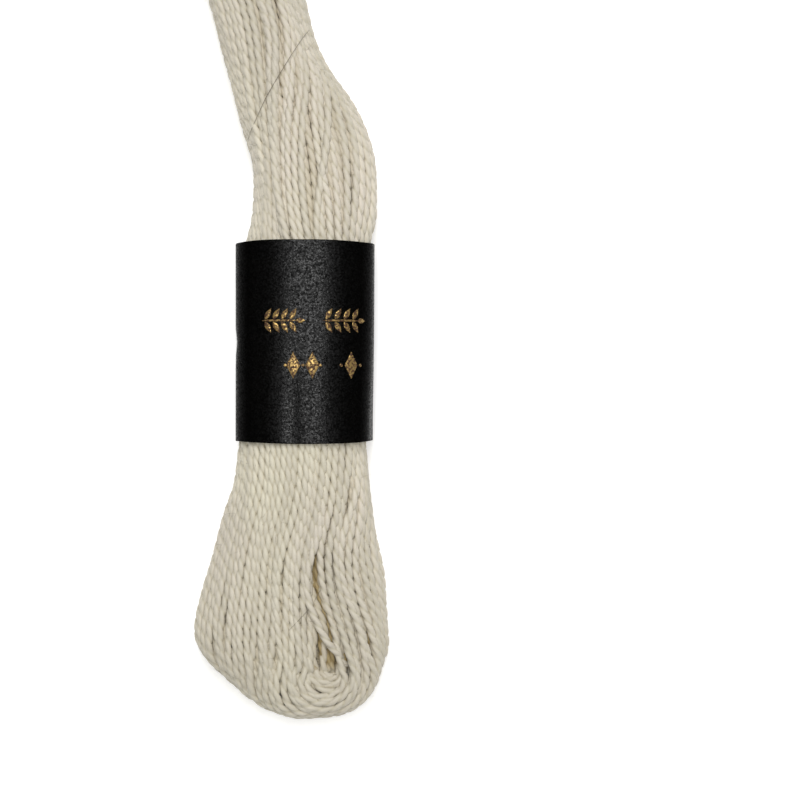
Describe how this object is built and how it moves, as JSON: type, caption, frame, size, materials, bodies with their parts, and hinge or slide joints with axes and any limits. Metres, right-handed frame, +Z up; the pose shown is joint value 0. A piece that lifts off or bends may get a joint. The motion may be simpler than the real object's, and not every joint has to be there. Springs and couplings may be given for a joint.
{
  "type": "hank of pearl cotton in a paper sleeve",
  "caption": "Flat looped hank of cream two-ply pearl cotton, held together by a black paper sleeve round its middle.",
  "frame": {"origin": "middle of the sleeve's flat underside, on the surface that the hank lies on", "axes": "+Y along the hank towards its far loop end, +Z up from the surface, +X to the right seen from above"},
  "size_m": [0.02, 0.1002, 0.0082],
  "materials": {
    "cotton": "cream mercerised cotton, soft sheen",
    "sleeve": "black coated paper, satin, with gold foil print"
  },
  "bodies": {
    "root": {"hank": "cotton", "band": "sleeve"}
  },
  "joints": []
}
